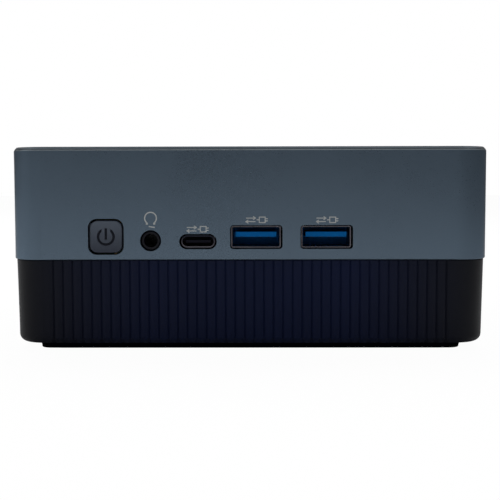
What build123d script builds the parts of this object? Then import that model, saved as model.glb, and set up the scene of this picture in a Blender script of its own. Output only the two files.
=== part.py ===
from build123d import *
from math import atan2, cos, degrees, sin
import os

# A desktop mini PC. The frame's origin is the centre of its footprint on the desk, +Z is up and
# the front panel faces -Y. All sizes are millimetres. An "inset" is a distance inwards from the
# upper rim of the metal shell, the widest outline of the case.

os.makedirs("parts", exist_ok=True)

# ---------------------------------------------------------------- case
WIDTH = 128.0
DEPTH = 127.0
CORNER_R = 9.0
STAND = 0.55  # heights below are measured from a datum this far over the desk
SEAM_Z = 24.0  # lower edge of the metal shell
RIM_Z = 53.1  # upper edge of the metal shell
TOP_Z = 53.9  # top face of the cover
METAL_LEAN = 0.1  # how far each metal wall leans in from rim to seam
RIM_BEVEL = 0.15
FOOT_BEVEL = 0.2
CAVITY = 2.0  # inset of the metal shell's inside
CAVITY_R = 8.0
LEDGE_Z = 50.2  # underside of the ledge that carries the cover
COVER_Z = 51.7  # underside of the cover
COVER = 1.7  # inset
COVER_GAP = 0.2
FLANGE = 0.15  # inset of the cover's edge, which lies over the metal shell's rim
FLANGE_LIFT = 0.05
FLANGE_EDGE = 0.1
FLANGE_SLOPE = 0.6

LOWER_TOP = 23.85  # top of the ribbed wall, under the shadow gap
LOWER_FLOOR = 1.5
LOWER = 0.55  # inset at the top of the ribbed wall
LOWER_LEAN = 0.52
LOWER_INNER = 3.9  # inset of the lower shell's inside
LOWER_INNER_R = 7.5
LOWER_FILLET = 2.1
TOP_BEVEL = 0.1
SCALLOP_OUT = 0.3
LIP = 2.3  # inset of the lip inside the metal shell
LIP_TOP = 26.0
RIB_PITCH = 2.54
RIBS_EACH_WAY = 21
GROOVE_DEPTH = 0.4

PLINTH_Z = -0.4  # underside of the base plate
PLINTH = 6.1  # inset
PLINTH_LEAN = 0.8
HATCH = 6.9  # inset of the opening in the lower shell's floor
FLOOR_TOP = 3.0
POST = 10.0  # inset of the case screws
POST_R = 4.0
SCREW_SEAT = 2.8
POST_Z = 4.4  # where the base plate's bosses meet the lower shell's posts
STUD = 6.2  # inset of the cover's studs
VESA = 75.0  # mounting square in the base
FOOT_WIDTH = 6.6
FOOT_SINK = 0.6

BOARD = 4.5  # inset
BOARD_Z = 25.2
BOARD_TOP = 26.8
TRAY = 3.6  # inset
TRAY_Z = 42.7
TRAY_TOP = 43.7
GAP = 0.2  # free space round small fittings

HALF_X = WIDTH / 2
HALF_Y = DEPTH / 2
INSIDE_FRONT = CAVITY - HALF_Y

# ---------------------------------------------------------------- front panel, (x, z) of centres
BUTTON = (-37.9, 30.15)
BUTTON_SIZE = 8.5
BUTTON_GAP = 0.5
BUTTON_FACE = -63.35
JACK = (-26.1, 29.1)
JACK_HOLE_R = 2.78
JACK_BORE_R = 1.8
USB_C = (-13.6, 28.85)
USB_A_FRONT = [(1.7, 30.05), (20.25, 30.05)]
USB_A_CUTS = [(1.8, 30.03), (20.35, 30.03)]
USB_A_CUT = (13.8, 6.3)
USB_A_OUTER = (13.2, 5.8)
USB_A_MOUTH = (12.5, 5.12)
TONGUE_UP = 0.65  # height of a USB-A tongue's middle over the mouth's middle
TONGUE = (10.8, 1.3)
USB_C_CUT = (9.9, 4.0)
USB_C_OUTER = (8.94, 3.26)
USB_C_MOUTH = (8.34, 2.56)
PORT_Y = -62.65  # mouths of the front sockets

# ---------------------------------------------------------------- rear panel, (x, z) of centres
REAR_Y = 62.0  # mouths of the rear sockets
DC = (43.0, 31.4)
USB_C_REAR = (31.0, 28.7)
HDMI = [(16.5, 30.1), (-1.5, 30.1)]
USB_STACK = (-20.0, 34.3)
USB_A_REAR = [(-20.0, 30.3), (-20.0, 38.3)]
LAN = (-38.5, 33.5)
PANEL_Y = (60.7, 61.5)
WINDOW = (100.0, 16.8, 34.8)  # width, height and middle Z

# ---------------------------------------------------------------- cooling
FAN_Z = 5.0
FAN_TOP = 18.0
FAN_R = 36.0
FAN_WALL = 1.0
ROTOR_R = 31.0
DUCT = (31.0, 42.0)  # half width, and where it ends in Y
BLADES = 27
FINS_Y = (43.0, 57.0)
FIN_COUNT = 41
PIPE_Z = 18.8
PIPE_TOP = 21.4
PLATE_TOP = 23.4
PIPE_WIDTH = 6.0
FAN_LUGS = [(-40.0, -18.0), (40.0, -18.0), (-35.0, 34.0), (35.0, 34.0)]
COOLER_SCREWS = [(-16.0, 15.2), (16.0, 15.2), (-16.0, -17.2), (16.0, -17.2)]

# ---------------------------------------------------------------- cards on the board
MODULE = (30.0, 67.6, 1.2)
MODULE_X = (-40.5, -6.5)
MODULE_Z = BOARD_TOP + 2.4
CARD_Z = BOARD_TOP + 3.0
CARD_THICK = 0.8
SSD = (23.0, -39.4, 40.5)  # middle X, and both ends in Y
WIFI = (48.0, -19.4, 10.6)
CELL = (47.0, -36.5)
DRIVE = (69.85, 100.0, 7.0)
DRIVE_AT = (-23.4, 0.0)
DRIVE_HOLES = (61.72, 76.6)

CORNERS = [(x, y) for x in (-1, 1) for y in (-1, 1)]
UP = (Align.CENTER, Align.CENTER, Align.MIN)
DOWN = (Align.CENTER, Align.CENTER, Align.MAX)


def save(piece, name):
    """Stands a finished piece at its height over the desk and writes it as its own STEP file."""
    placed = piece.part.moved(Location((0, 0, STAND)))
    placed.label = name
    export_step(placed, f"parts/{name}.step")


def outline(inset, radius):
    """Rounded rectangle at an inset from the case's rim."""
    return RectangleRounded(WIDTH - 2 * inset, DEPTH - 2 * inset, radius)


def corner_spots(inset, z):
    """A place in each corner of the case, turned so that its X runs along the diagonal."""
    return [
        Location((sx * (HALF_X - inset), sy * (HALF_Y - inset), z), (0, 0, 45 * sx * sy))
        for sx, sy in CORNERS
    ]


def corner_xy(inset):
    return [(sx * (HALF_X - inset), sy * (HALF_Y - inset)) for sx, sy in CORNERS]


def facing_front(y):
    """Plane at the given y whose normal is -Y, with local x to the right and local y up."""
    return Plane.XZ.offset(-y)


def spots_3d(places, z):
    return [Location((x, y, z)) for x, y in places]


def flared(z, height, inset, spread):
    """Extrudes the case's outline up from z; it grows by spread, or shrinks if that is negative."""
    with BuildSketch(Plane.XY.offset(z)) as face:
        outline(inset, CORNER_R - inset)
    extrude(face.sketch, amount=height, taper=-degrees(atan2(spread, height)))


# ---------------------------------------------------------------- metal shell
with BuildPart() as top_shell:
    flared(SEAM_Z, FOOT_BEVEL, METAL_LEAN + FOOT_BEVEL, FOOT_BEVEL)
    straight = RIM_Z - SEAM_Z - FOOT_BEVEL - RIM_BEVEL
    flared(SEAM_Z + FOOT_BEVEL, straight, METAL_LEAN, METAL_LEAN)
    flared(RIM_Z - RIM_BEVEL, RIM_BEVEL, 0, -RIM_BEVEL)
    with BuildSketch(Plane.XY.offset(SEAM_Z)):
        outline(CAVITY, CAVITY_R)
    extrude(amount=LEDGE_Z - SEAM_Z, mode=Mode.SUBTRACT)
    with BuildSketch(Plane.XY.offset(LEDGE_Z)):
        outline(CAVITY + 2.0, CAVITY_R + 4.0)
    extrude(amount=COVER_Z - LEDGE_Z, mode=Mode.SUBTRACT)
    with BuildSketch(Plane.XY.offset(COVER_Z)):
        outline(COVER - COVER_GAP, CORNER_R - COVER + COVER_GAP)
    extrude(amount=RIM_Z - COVER_Z, mode=Mode.SUBTRACT)
    # corner bosses, tied to the walls
    with Locations(*corner_spots(POST, BOARD_TOP)):
        Cylinder(POST_R, TRAY_Z - BOARD_TOP, align=UP)
    with Locations(*corner_spots(5.5, BOARD_TOP)):
        Box(5.4, 3.0, TRAY_Z - BOARD_TOP, align=UP)
    with Locations(*corner_spots(POST, BOARD_TOP)):
        Cylinder(1.55, TRAY_Z - BOARD_TOP, align=UP, mode=Mode.SUBTRACT)
    with Locations(*corner_spots(STUD, LEDGE_Z)):
        Cylinder(1.3, COVER_Z - LEDGE_Z, align=UP, mode=Mode.SUBTRACT)
    with BuildSketch(facing_front(INSIDE_FRONT + 1)):
        with Locations(BUTTON):
            cut = BUTTON_SIZE + 2 * BUTTON_GAP
            RectangleRounded(cut, cut, 2.4)
        with Locations(JACK):
            Circle(JACK_HOLE_R)
        with Locations(USB_C):
            SlotOverall(*USB_C_CUT)
        with Locations(*USB_A_CUTS):
            RectangleRounded(*USB_A_CUT, 0.9)
    extrude(amount=5, mode=Mode.SUBTRACT)
    with BuildSketch(facing_front(HALF_Y + 1)):
        with Locations((0, WINDOW[2])):
            RectangleRounded(WINDOW[0], WINDOW[1], 1.5)
    extrude(amount=5, mode=Mode.SUBTRACT)
save(top_shell, "top_shell")

# ---------------------------------------------------------------- cover
with BuildPart() as top_cover:
    with BuildSketch(Plane.XY.offset(COVER_Z)):
        outline(COVER, CORNER_R - COVER)
    extrude(amount=TOP_Z - COVER_Z)
    # edge that lies over the rim, with a sloping top
    edge_z = RIM_Z + FLANGE_LIFT
    flared(edge_z, FLANGE_EDGE, FLANGE, 0)
    slope_z = edge_z + FLANGE_EDGE
    flared(slope_z, TOP_Z - slope_z, FLANGE, -FLANGE_SLOPE)
    with Locations(*corner_spots(STUD, COVER_Z)):
        Cylinder(1.15, 4.2, align=DOWN)
save(top_cover, "top_cover")

with BuildPart() as cover_pads:
    with BuildSketch(Plane.XY.offset(COVER_Z)):
        with Locations((DRIVE_AT[0], -28.0), (DRIVE_AT[0], 32.0)):
            RectangleRounded(34.0, 7.0, 1.0)
    extrude(amount=-0.6)
save(cover_pads, "cover_pads")

with BuildPart() as cover_catches:
    with BuildSketch(Plane.XY.offset(LEDGE_Z)):
        with Locations(*corner_xy(STUD)):
            Circle(2.0)
        with Locations(*corner_xy(STUD)):
            Circle(1.22, mode=Mode.SUBTRACT)
    extrude(amount=-1.2)
save(cover_catches, "cover_catches")

# ---------------------------------------------------------------- ribbed lower shell
lean = atan2(LOWER_LEAN, LOWER_TOP - LOWER_FLOOR)
groove_places = [(i + 0.5) * RIB_PITCH for i in range(-RIBS_EACH_WAY, RIBS_EACH_WAY)]
vents = [p for p in groove_places if abs(p) < 30]

# cross-section cut away between the middles of two ribs: sloping flanks and a narrow groove
rib_half = RIB_PITCH / 2 - 0.06
with BuildSketch() as groove:
    flank = [(rib_half, 0.0), (0.8, 0.03), (0.32, 0.13)]
    left_flank = [(-x, depth) for x, depth in reversed(flank)]
    Polygon((-rib_half, -0.3), (rib_half, -0.3), *flank, (0, GROOVE_DEPTH), *left_flank,
            align=None)

with BuildPart() as lower_shell:
    flared(LOWER_FLOOR, LOWER_TOP - TOP_BEVEL - LOWER_FLOOR, LOWER + LOWER_LEAN, LOWER_LEAN)
    fillet(lower_shell.faces().sort_by(Axis.Z)[0].edges(), radius=LOWER_FILLET)
    flared(LOWER_TOP - TOP_BEVEL, TOP_BEVEL, LOWER, -TOP_BEVEL)
    # vertical grooves down all four walls, between slightly rounded ribs
    for turn in range(4):
        wall = (HALF_X if turn % 2 else HALF_Y) - LOWER
        # the sketch plane stands over the wall, which leans inwards on its way down
        over = 0.5
        with BuildSketch(Plane.XY.offset(LOWER_TOP + over).rotated((0, 0, 90 * turn))):
            with Locations(*[(x, -wall - over * sin(lean)) for x in groove_places]):
                add(groove.sketch)
        along = Vector(0, sin(lean), -cos(lean)).rotate(Axis.Z, 90 * turn)
        extrude(amount=LOWER_TOP - LOWER_FLOOR + 1, dir=along, mode=Mode.SUBTRACT)
        # they run on round the bottom edge, on a slope of 45 degrees
        start = Vector(0, LOWER_LEAN - wall - SCALLOP_OUT, LOWER_FLOOR + LOWER_FILLET)
        slope = Plane(
            origin=start.rotate(Axis.Z, 90 * turn),
            x_dir=Vector(1, 0, 0).rotate(Axis.Z, 90 * turn),
            z_dir=Vector(0, 1, -1).rotate(Axis.Z, 90 * turn),
        )
        with BuildSketch(slope):
            with Locations(*[(x, 0) for x in groove_places]):
                Polygon((-0.7, 1.5), (0.7, 1.5), (0.7, 0.35), (0, 0), (-0.7, 0.35), align=None)
        extrude(amount=2 * LOWER_FILLET, mode=Mode.SUBTRACT)
    # lip that stands inside the metal shell
    with BuildSketch(Plane.XY.offset(LOWER_TOP)):
        outline(LIP, CAVITY_R + CAVITY - LIP)
    extrude(amount=LIP_TOP - LOWER_TOP)
    with BuildSketch(Plane.XY.offset(FLOOR_TOP)):
        outline(LOWER_INNER, LOWER_INNER_R)
    extrude(amount=LIP_TOP - FLOOR_TOP, mode=Mode.SUBTRACT)
    # notch in the lip under the power button
    with Locations(Location((BUTTON[0], LOWER_INNER - 1 - HALF_Y, LIP_TOP - 0.8))):
        Box(BUTTON_SIZE + 3.4, 4.0, 1.0, align=UP, mode=Mode.SUBTRACT)
    # hatch for the base plate, with room for its screw bosses
    with BuildSketch(Plane.XY.offset(LOWER_FLOOR)):
        outline(HATCH, 6.0)
        with Locations(*corner_xy(POST)):
            Circle(POST_R + GAP)
    extrude(amount=FLOOR_TOP - LOWER_FLOOR, mode=Mode.SUBTRACT)
    with Locations(*corner_spots(POST, POST_Z)):
        Cylinder(POST_R, BOARD_Z - POST_Z, align=UP)
    with Locations(*corner_spots(6.6, POST_Z)):
        Box(4.5, 3.0, BOARD_Z - POST_Z, align=UP)
    with Locations(*corner_spots(POST, POST_Z)):
        Cylinder(1.65, BOARD_Z - POST_Z, align=UP, mode=Mode.SUBTRACT)
    # air slots in the grooves: intake on both sides, exhaust at the rear
    with BuildSketch(Plane.YZ):
        with Locations(*[(y, 14.0) for y in vents]):
            SlotOverall(11, 1.2, rotation=90)
    extrude(amount=HALF_X + 1, both=True, mode=Mode.SUBTRACT)
    with BuildSketch(facing_front(FINS_Y[1])):
        with Locations(*[(x, 12.4) for x in vents]):
            SlotOverall(12.4, 1.5, rotation=90)
    extrude(amount=-10, mode=Mode.SUBTRACT)
save(lower_shell, "lower_shell")

# ---------------------------------------------------------------- base plate, feet and filter
VESA_XY = [(sx * VESA / 2, sy * VESA / 2) for sx, sy in CORNERS]
foot_rows = [(0, -(HALF_Y - POST)), (0, HALF_Y - POST)]
foot_length = WIDTH - 2 * PLINTH - 1.0

with BuildPart() as base_plate:
    with BuildSketch(Plane.XY.offset(PLINTH_Z)):
        outline(PLINTH, 7.0)
    rise = LOWER_FLOOR - PLINTH_Z
    extrude(amount=rise, taper=-degrees(atan2(PLINTH_LEAN, rise)))
    with BuildSketch(Plane.XY.offset(LOWER_FLOOR)):
        outline(HATCH + GAP, 6.0)
    extrude(amount=FLOOR_TOP - LOWER_FLOOR)
    with Locations(*corner_spots(POST, LOWER_FLOOR)):
        Cylinder(POST_R, POST_Z - LOWER_FLOOR, align=UP)
    with Locations(*corner_spots(POST, PLINTH_Z)):
        Cylinder(1.65, POST_Z - PLINTH_Z, align=UP, mode=Mode.SUBTRACT)
        Cylinder(3.0, SCREW_SEAT - PLINTH_Z, align=UP, mode=Mode.SUBTRACT)
    with Locations(*spots_3d(VESA_XY, FLOOR_TOP)):
        Cylinder(4.4, 3.6, align=UP)
    with Locations(*spots_3d(VESA_XY, PLINTH_Z)):
        Cylinder(2.8, 5.3, align=UP, mode=Mode.SUBTRACT)
    # seats for the two rubber strips
    with BuildSketch(Plane.XY.offset(PLINTH_Z)):
        with Locations(*foot_rows):
            RectangleRounded(foot_length, FOOT_WIDTH, 3.2)
    extrude(amount=FOOT_SINK, mode=Mode.SUBTRACT)
    # rings of intake slots under the fan
    with BuildSketch(Plane.XY.offset(PLINTH_Z)):
        for ring in range(6):
            radius = 6.5 + 5.0 * ring
            bridges = 3 + ring
            span = 360 / bridges - degrees(4.4 / radius)
            for i in range(bridges):
                SlotArc(CenterArc((0, 0), radius, 360 / bridges * i + 17 * ring, span), 2.4)
    extrude(amount=FLOOR_TOP - PLINTH_Z + 1, mode=Mode.SUBTRACT)
save(base_plate, "base_plate")

with BuildPart() as foot_strips:
    with BuildSketch(Plane.XY.offset(-STAND)):
        with Locations(*foot_rows):
            RectangleRounded(foot_length - 0.2, FOOT_WIDTH - 0.2, 3.1)
    extrude(amount=STAND + PLINTH_Z + FOOT_SINK)
    fillet(foot_strips.faces().group_by(Axis.Z)[0].edges(), radius=0.3)
save(foot_strips, "foot_strips")

with BuildPart() as dust_filter:
    with BuildSketch(Plane.XY.offset(FLOOR_TOP)):
        Circle(36.5)
    extrude(amount=0.3)
save(dust_filter, "dust_filter")

with BuildPart() as threaded_inserts:
    with Locations(*spots_3d(VESA_XY, PLINTH_Z + 0.1)):
        Cylinder(2.8, 5.2, align=UP)
    with Locations(*spots_3d(VESA_XY, PLINTH_Z + 0.1)):
        Cylinder(1.7, 4.6, align=UP, mode=Mode.SUBTRACT)
save(threaded_inserts, "threaded_inserts")


def screws(name, places, seat_z, head, shaft, up=True):
    """Round-headed screws whose heads sit at seat_z. head and shaft are (radius, length)."""
    forward, back = (UP, DOWN) if up else (DOWN, UP)
    with BuildPart() as group:
        with Locations(*spots_3d(places, seat_z)):
            Cylinder(*head, align=back)
        crowns = group.faces().filter_by(Axis.Z).group_by(Axis.Z)[0 if up else -1]
        fillet(crowns.edges(), radius=head[1] * 0.35)
        with Locations(*spots_3d(places, seat_z)):
            Cylinder(*shaft, align=forward)
        crown_z = seat_z - head[1] if up else seat_z + head[1]
        with BuildSketch(Plane.XY.offset(crown_z)):
            with Locations(*places):
                Rectangle(head[0], head[0] * 0.2)
                Rectangle(head[0] * 0.2, head[0])
        extrude(amount=head[1] * (0.6 if up else -0.6), mode=Mode.SUBTRACT)
    save(group, name)


screws("case_screws", corner_xy(POST), SCREW_SEAT, (2.7, 1.6), (1.5, 31.0))


def spacers(name, sets):
    """Round spacers with a screw bore. Each set is (places, z, length, radius, bore radius)."""
    with BuildPart() as group:
        for places, z, length, radius, bore_r in sets:
            with BuildSketch(Plane.XY.offset(z)):
                with Locations(*places):
                    Circle(radius)
                with Locations(*places):
                    Circle(bore_r, mode=Mode.SUBTRACT)
            extrude(amount=length)
    save(group, name)


# ---------------------------------------------------------------- power button and its switch
collar_y = INSIDE_FRONT + 0.05
nub_end = collar_y + 2.85
mark_depth = 0.4


def power_outline(slack):
    """The power mark: a ring open at the top, and a bar through the opening."""
    with Locations(BUTTON):
        Circle(2.35 + slack)
        Circle(1.75 - slack, mode=Mode.SUBTRACT)
        with Locations((0, 2.0)):
            Rectangle(2.3 - 2 * slack, 2.4, mode=Mode.SUBTRACT)
        with Locations((0, 0.75)):
            Rectangle(0.6 + 2 * slack, 3.0 + 2 * slack)


with BuildPart() as power_button:
    with BuildSketch(facing_front(collar_y)):
        with Locations(BUTTON):
            RectangleRounded(BUTTON_SIZE, BUTTON_SIZE, 2.0)
    extrude(amount=collar_y - BUTTON_FACE)
    fillet(power_button.faces().sort_by(Axis.Y)[0].edges(), radius=0.35)
    # collar that keeps the cap behind the wall, and the nub that works the switch
    with BuildSketch(facing_front(collar_y)):
        with Locations(BUTTON):
            RectangleRounded(BUTTON_SIZE + 2.4, BUTTON_SIZE - 1.4, 1.0)
    extrude(amount=-0.85)
    with BuildSketch(facing_front(collar_y)):
        with Locations(BUTTON):
            Circle(1.4)
    extrude(amount=collar_y - nub_end)
    with BuildSketch(facing_front(BUTTON_FACE)):
        power_outline(0.02)
    extrude(amount=-mark_depth, mode=Mode.SUBTRACT)
save(power_button, "power_button")

with BuildPart() as power_mark:
    with BuildSketch(facing_front(BUTTON_FACE + mark_depth)):
        power_outline(0.0)
    extrude(amount=mark_depth - 0.1)
save(power_mark, "power_mark")

switch_y = -57.0
with BuildPart() as power_switch:
    with BuildSketch(Plane.XY.offset(BOARD_TOP)):
        with Locations((BUTTON[0], switch_y + 2.0)):
            Rectangle(7.0, 4.0)
    extrude(amount=6.4)
    chamfer(power_switch.edges().filter_by(Axis.Y), length=0.4)
    with BuildSketch(facing_front(switch_y)):
        with Locations(BUTTON):
            Circle(1.35)
    extrude(amount=-2.0, mode=Mode.SUBTRACT)
save(power_switch, "power_switch")

with BuildPart() as switch_plunger:
    with BuildSketch(facing_front(switch_y + 0.9)):
        with Locations(BUTTON):
            Circle(1.3)
    extrude(amount=switch_y + 0.9 - nub_end)
save(switch_plunger, "switch_plunger")

# ---------------------------------------------------------------- headphone socket
with BuildPart() as audio_jack:
    jack_top = JACK[1] + 2.6
    with BuildSketch(facing_front(INSIDE_FRONT)):
        with Locations((JACK[0], (BOARD_TOP + jack_top) / 2)):
            Rectangle(6.4, jack_top - BOARD_TOP)
    extrude(amount=-12.0)
    with BuildSketch(facing_front(INSIDE_FRONT)):
        with Locations(JACK):
            Circle(2.6)
    extrude(amount=INSIDE_FRONT + 62.75)
    chamfer(audio_jack.faces().sort_by(Axis.Y)[0].edges(), length=0.25)
    with BuildSketch(facing_front(-62.75)):
        with Locations(JACK):
            Circle(JACK_BORE_R)
    extrude(amount=-12.5, mode=Mode.SUBTRACT)
    # slot over the bore for the contact spring
    with Locations(Location((JACK[0], -57.0, JACK[1]))):
        Box(1.2, 5.0, 3.0, align=UP, mode=Mode.SUBTRACT)
save(audio_jack, "audio_jack")

with BuildPart() as jack_contact:
    with Locations(Location((JACK[0], -57.0, JACK[1] + JACK_BORE_R + 0.05))):
        Box(1.2, 5.0, 0.35, align=UP)
save(jack_contact, "jack_contact")


# ---------------------------------------------------------------- USB sockets
def usb_tongue(spot, y, sense):
    """The tongue of one USB-A socket and the block behind it; sense +1 leads to +Y."""
    with BuildSketch(facing_front(y + sense * 0.7)) as tongue:
        with Locations((spot[0], spot[1] + TONGUE_UP)):
            Rectangle(*TONGUE)
    extrude(tongue.sketch, amount=-sense * 9.2)
    with BuildSketch(facing_front(y + sense * 9.9)) as block:
        with Locations(spot):
            RectangleRounded(*USB_A_MOUTH, 0.3)
    extrude(block.sketch, amount=-sense * 3.5)


def usb_springs(spot, y, sense):
    """Four contact strips under the tongue of one USB-A socket."""
    under = spot[1] + TONGUE_UP - TONGUE[1] / 2
    with BuildSketch(facing_front(y + sense * 3.6)) as strips:
        with Locations(*[(spot[0] + 2.4 * (i - 1.5), under - 0.1) for i in range(4)]):
            Rectangle(1.0, 0.2)
    extrude(strips.sketch, amount=-sense * 6.2)


with BuildPart() as usb_a_front_shells:
    with BuildSketch(facing_front(PORT_Y)):
        with Locations(*USB_A_FRONT):
            RectangleRounded(*USB_A_OUTER, 0.6)
        with Locations(*USB_A_FRONT):
            RectangleRounded(*USB_A_MOUTH, 0.3, mode=Mode.SUBTRACT)
    extrude(amount=-15.0)
    chamfer(usb_a_front_shells.faces().filter_by(Axis.Y).group_by(Axis.Y)[0].edges(), length=0.1)
save(usb_a_front_shells, "usb_a_front_shells")

with BuildPart() as usb_a_rear_shell:
    with BuildSketch(facing_front(REAR_Y)):
        with Locations(USB_STACK):
            RectangleRounded(13.6, 15.0, 0.5)
        with Locations(*USB_A_REAR):
            RectangleRounded(*USB_A_MOUTH, 0.3, mode=Mode.SUBTRACT)
    extrude(amount=16.0)
save(usb_a_rear_shell, "usb_a_rear_shell")

with BuildPart() as usb_a_tongues:
    for place in USB_A_FRONT:
        usb_tongue(place, PORT_Y, 1)
    for place in USB_A_REAR:
        usb_tongue(place, REAR_Y, -1)
save(usb_a_tongues, "usb_a_tongues")

with BuildPart() as usb_contacts:
    for place in USB_A_FRONT:
        usb_springs(place, PORT_Y, 1)
    for place in USB_A_REAR:
        usb_springs(place, REAR_Y, -1)
save(usb_contacts, "usb_contacts")

USB_C_SIDES = [(USB_C, PORT_Y, 1), (USB_C_REAR, REAR_Y, -1)]
with BuildPart() as usb_c_shells:
    for place, y, sense in USB_C_SIDES:
        with BuildSketch(facing_front(y)):
            with Locations(place):
                SlotOverall(*USB_C_OUTER)
                SlotOverall(*USB_C_MOUTH, mode=Mode.SUBTRACT)
        extrude(amount=-sense * 7.6)
save(usb_c_shells, "usb_c_shells")

with BuildPart() as usb_c_tongues:
    for place, y, sense in USB_C_SIDES:
        with BuildSketch(facing_front(y + sense * 0.9)):
            with Locations(place):
                Rectangle(6.7, 0.7)
        extrude(amount=-sense * 4.5)
        with BuildSketch(facing_front(y + sense * 5.4)):
            with Locations(place):
                SlotOverall(*USB_C_MOUTH)
        extrude(amount=-sense * 2.0)
save(usb_c_tongues, "usb_c_tongues")


# ---------------------------------------------------------------- other rear sockets
def hdmi_outline(grow):
    """The HDMI mouth: a box whose lower corners are cut off."""
    half = 7.0 + grow
    tall = 2.28 + grow
    foot = 5.3 + grow * 0.7
    Polygon((-half, tall), (half, tall), (half, -0.75), (foot, -tall), (-foot, -tall),
            (-half, -0.75), align=None)


with BuildPart() as hdmi_shells:
    with BuildSketch(facing_front(REAR_Y)):
        with Locations(*HDMI):
            hdmi_outline(0.4)
    extrude(amount=11.0)
    with BuildSketch(facing_front(REAR_Y)):
        with Locations(*HDMI):
            hdmi_outline(0.0)
    extrude(amount=11.0, mode=Mode.SUBTRACT)
save(hdmi_shells, "hdmi_shells")

with BuildPart() as hdmi_tongues:
    with BuildSketch(facing_front(REAR_Y - 1.0)):
        with Locations(*[(x, z + 0.35) for x, z in HDMI]):
            Rectangle(11.0, 1.1)
    extrude(amount=6.5)
    with BuildSketch(facing_front(REAR_Y - 7.5)):
        with Locations(*HDMI):
            hdmi_outline(0.0)
    extrude(amount=2.5)
save(hdmi_tongues, "hdmi_tongues")

with BuildPart() as lan_jack:
    with BuildSketch(facing_front(REAR_Y)):
        with Locations(LAN):
            RectangleRounded(15.9, 13.4, 0.4)
    extrude(amount=16.0)
    # the plug's cavity, with the two steps of its latch below
    with BuildSketch(facing_front(REAR_Y)):
        with Locations((LAN[0], LAN[1] + 0.9)):
            Rectangle(11.9, 7.0)
        with Locations((LAN[0], LAN[1] - 3.6)):
            Rectangle(6.2, 2.4)
        with Locations((LAN[0], LAN[1] - 5.2)):
            Rectangle(3.4, 1.2)
    extrude(amount=12.0, mode=Mode.SUBTRACT)
save(lan_jack, "lan_jack")

with BuildPart() as lan_contacts:
    roof = LAN[1] + 4.4
    for i in range(8):
        with BuildSketch(Plane.YZ.offset(LAN[0] + 1.02 * (i - 3.5) - 0.2)):
            with BuildLine():
                Polyline((REAR_Y - 2.0, roof), (REAR_Y - 9.6, roof - 1.8), (REAR_Y - 9.6, roof - 2.2),
                         (REAR_Y - 2.6, roof - 0.52), (REAR_Y - 1.6, roof), close=True)
            make_face()
        extrude(amount=0.4)
save(lan_contacts, "lan_contacts")

with BuildPart() as dc_jack:
    with BuildSketch(facing_front(REAR_Y)):
        with Locations(DC):
            Rectangle(9.2, 9.2)
    extrude(amount=12.5)
    chamfer(dc_jack.edges().filter_by(Axis.Y), length=0.8)
    with BuildSketch(facing_front(REAR_Y)):
        with Locations(DC):
            Circle(2.95)
    extrude(amount=10.0, mode=Mode.SUBTRACT)
save(dc_jack, "dc_jack")

with BuildPart() as dc_pin:
    with BuildSketch(facing_front(REAR_Y - 10.0)):
        with Locations(DC):
            Circle(1.25)
    extrude(amount=-9.0)
    fillet(dc_pin.faces().sort_by(Axis.Y)[-1].edges(), radius=0.5)
save(dc_pin, "dc_pin")

with BuildPart() as io_panel:
    with BuildSketch(facing_front(PANEL_Y[1])):
        with Locations((0, WINDOW[2] + 0.1)):
            RectangleRounded(WINDOW[0] + 4.0, WINDOW[1] + 0.4, 1.0)
        with Locations(DC):
            Rectangle(9.6, 9.6, mode=Mode.SUBTRACT)
        with Locations(USB_C_REAR):
            SlotOverall(9.5, 3.8, mode=Mode.SUBTRACT)
        with Locations(*HDMI):
            Rectangle(15.2, 5.8, mode=Mode.SUBTRACT)
        with Locations(USB_STACK):
            Rectangle(14.0, 15.4, mode=Mode.SUBTRACT)
        with Locations(LAN):
            Rectangle(16.3, 13.8, mode=Mode.SUBTRACT)
        # vent field over the low sockets
        with Locations((14.0, 38.6)):
            with GridLocations(3.0, 2.8, 15, 2):
                Circle(0.95, mode=Mode.SUBTRACT)
    extrude(amount=PANEL_Y[1] - PANEL_Y[0])
save(io_panel, "io_panel")

# ---------------------------------------------------------------- mainboard and its parts
with BuildPart() as mainboard:
    with BuildSketch(Plane.XY.offset(BOARD_Z)):
        outline(BOARD, 7.0)
        with Locations(*corner_xy(POST)):
            Circle(1.7, mode=Mode.SUBTRACT)
        with Locations(*COOLER_SCREWS):
            Circle(1.2, mode=Mode.SUBTRACT)
        with Locations(*FAN_LUGS):
            Circle(1.0, mode=Mode.SUBTRACT)
        # notch for the antenna leads
        with Locations((HALF_X - BOARD, 16.0)):
            RectangleRounded(4.0, 8.0, 0.8, mode=Mode.SUBTRACT)
    extrude(amount=BOARD_TOP - BOARD_Z)
save(mainboard, "mainboard")

with BuildPart() as processor:
    with BuildSketch(Plane.XY.offset(BOARD_Z)):
        with Locations((0, -1)):
            Rectangle(44, 26)
    extrude(amount=-1.2)
    with BuildSketch(Plane.XY.offset(BOARD_Z - 1.2)):
        with Locations((-3, -1)):
            Rectangle(19, 11)
    extrude(amount=PLATE_TOP - BOARD_Z + 1.2)
save(processor, "processor")

with BuildPart() as inductors:
    with BuildSketch(Plane.XY.offset(BOARD_Z)):
        with Locations(*[(-36.5, -8.0 + 7.6 * i) for i in range(4)]):
            RectangleRounded(6.6, 6.6, 0.6)
    extrude(amount=-3.0)
save(inductors, "inductors")

with BuildPart() as capacitors:
    with Locations(*spots_3d([(x, y) for x in (39.5, 48.5) for y in (22.0, 31.0, 40.0)], BOARD_TOP)):
        Cylinder(3.1, 6.4, align=UP)
    fillet(capacitors.faces().group_by(Axis.Z)[-1].edges(), radius=0.4)
save(capacitors, "capacitors")

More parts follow.
